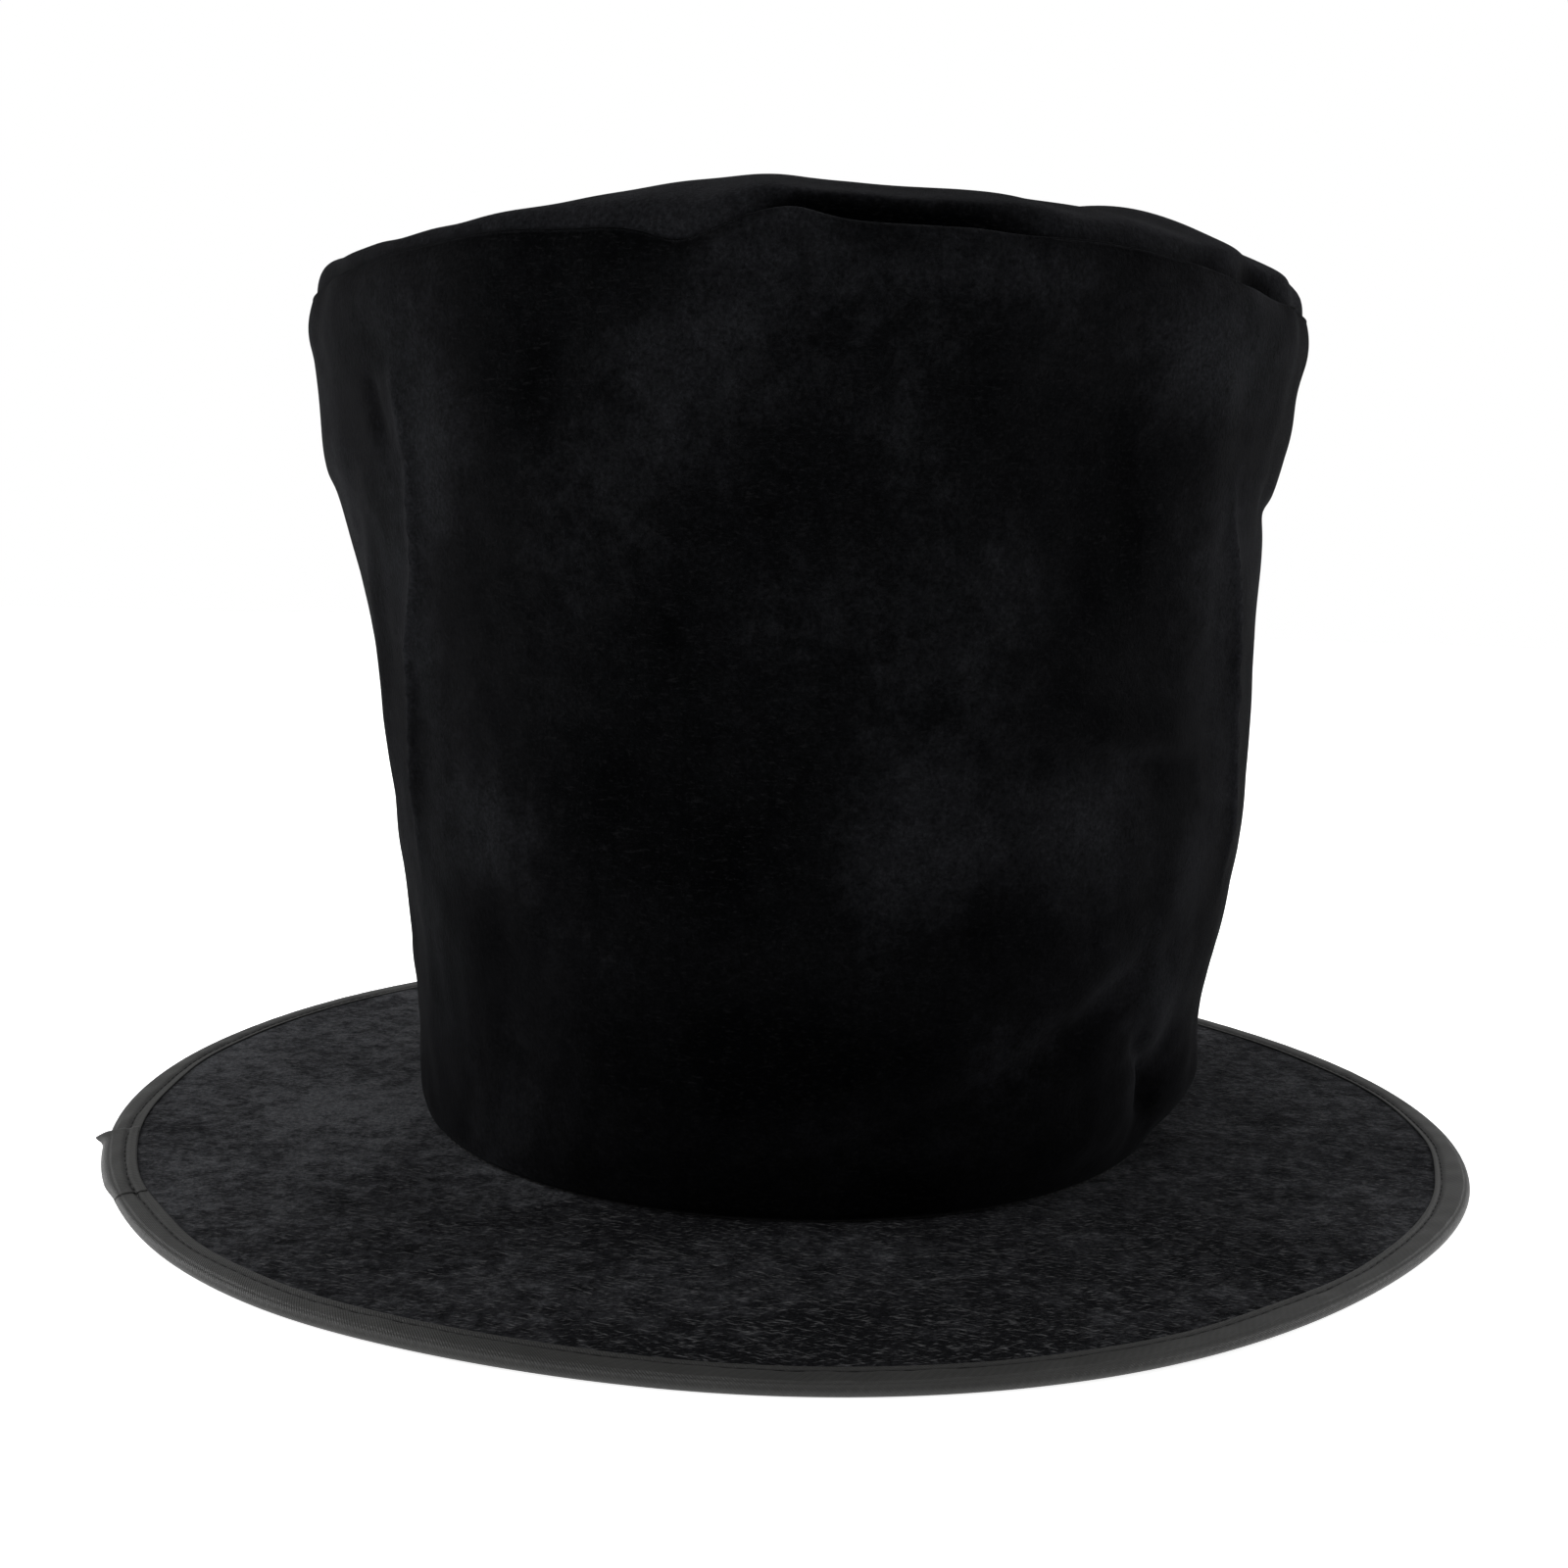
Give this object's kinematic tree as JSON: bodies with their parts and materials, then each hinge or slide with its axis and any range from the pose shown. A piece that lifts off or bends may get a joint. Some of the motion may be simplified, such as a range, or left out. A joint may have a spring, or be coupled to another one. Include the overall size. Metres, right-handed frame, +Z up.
{
  "type": "top hat",
  "caption": "Soft velour costume top hat: flared crown with a puffed tip on a flat, wire-edged brim bound with tape; lined and padded, with a sweatband round the head opening.",
  "frame": {"origin": "on the crown's axis, in the plane that the brim's underside rests on", "axes": "+Z up along the crown's axis; -Y is the front; +Y is the back, with the panel's seam and the care label"},
  "size_m": [0.344, 0.344, 0.221],
  "materials": {
    "crown_velour": "short velour pile, near-black",
    "brim_velour": "flocked velour, near-black, slightly lighter",
    "foam": "soft foam laminate, matt",
    "lining": "thin plain-weave lining",
    "board": "pressed fibre stiffener, matt",
    "under_cover": "plain twill, matt",
    "binding": "satin-faced bias tape, dark grey",
    "thread": "spun polyester thread",
    "wire": "drawn steel millinery wire",
    "sweatband": "ribbed grosgrain band",
    "label": "blank woven satin label",
    "label_thread": "spun polyester thread"
  },
  "bodies": {
    "root": {"crown_side_velour": "crown_velour", "crown_side_foam": "foam", "crown_side_lining": "lining", "crown_tip_velour": "crown_velour", "crown_tip_foam": "foam", "crown_tip_lining": "lining", "tip_seam_stitches": "thread", "back_seam_stitches": "thread", "crown_base_stitches": "thread", "brim_top_velour": "brim_velour", "brim_board": "board", "brim_under_cover": "under_cover", "brim_binding": "binding", "binding_stitches": "thread", "brim_edge_wire": "wire", "wire_sleeve": "wire", "sweatband": "sweatband", "sweatband_stitches": "thread", "care_label": "label", "label_stitches": "label_thread"}
  },
  "joints": []
}
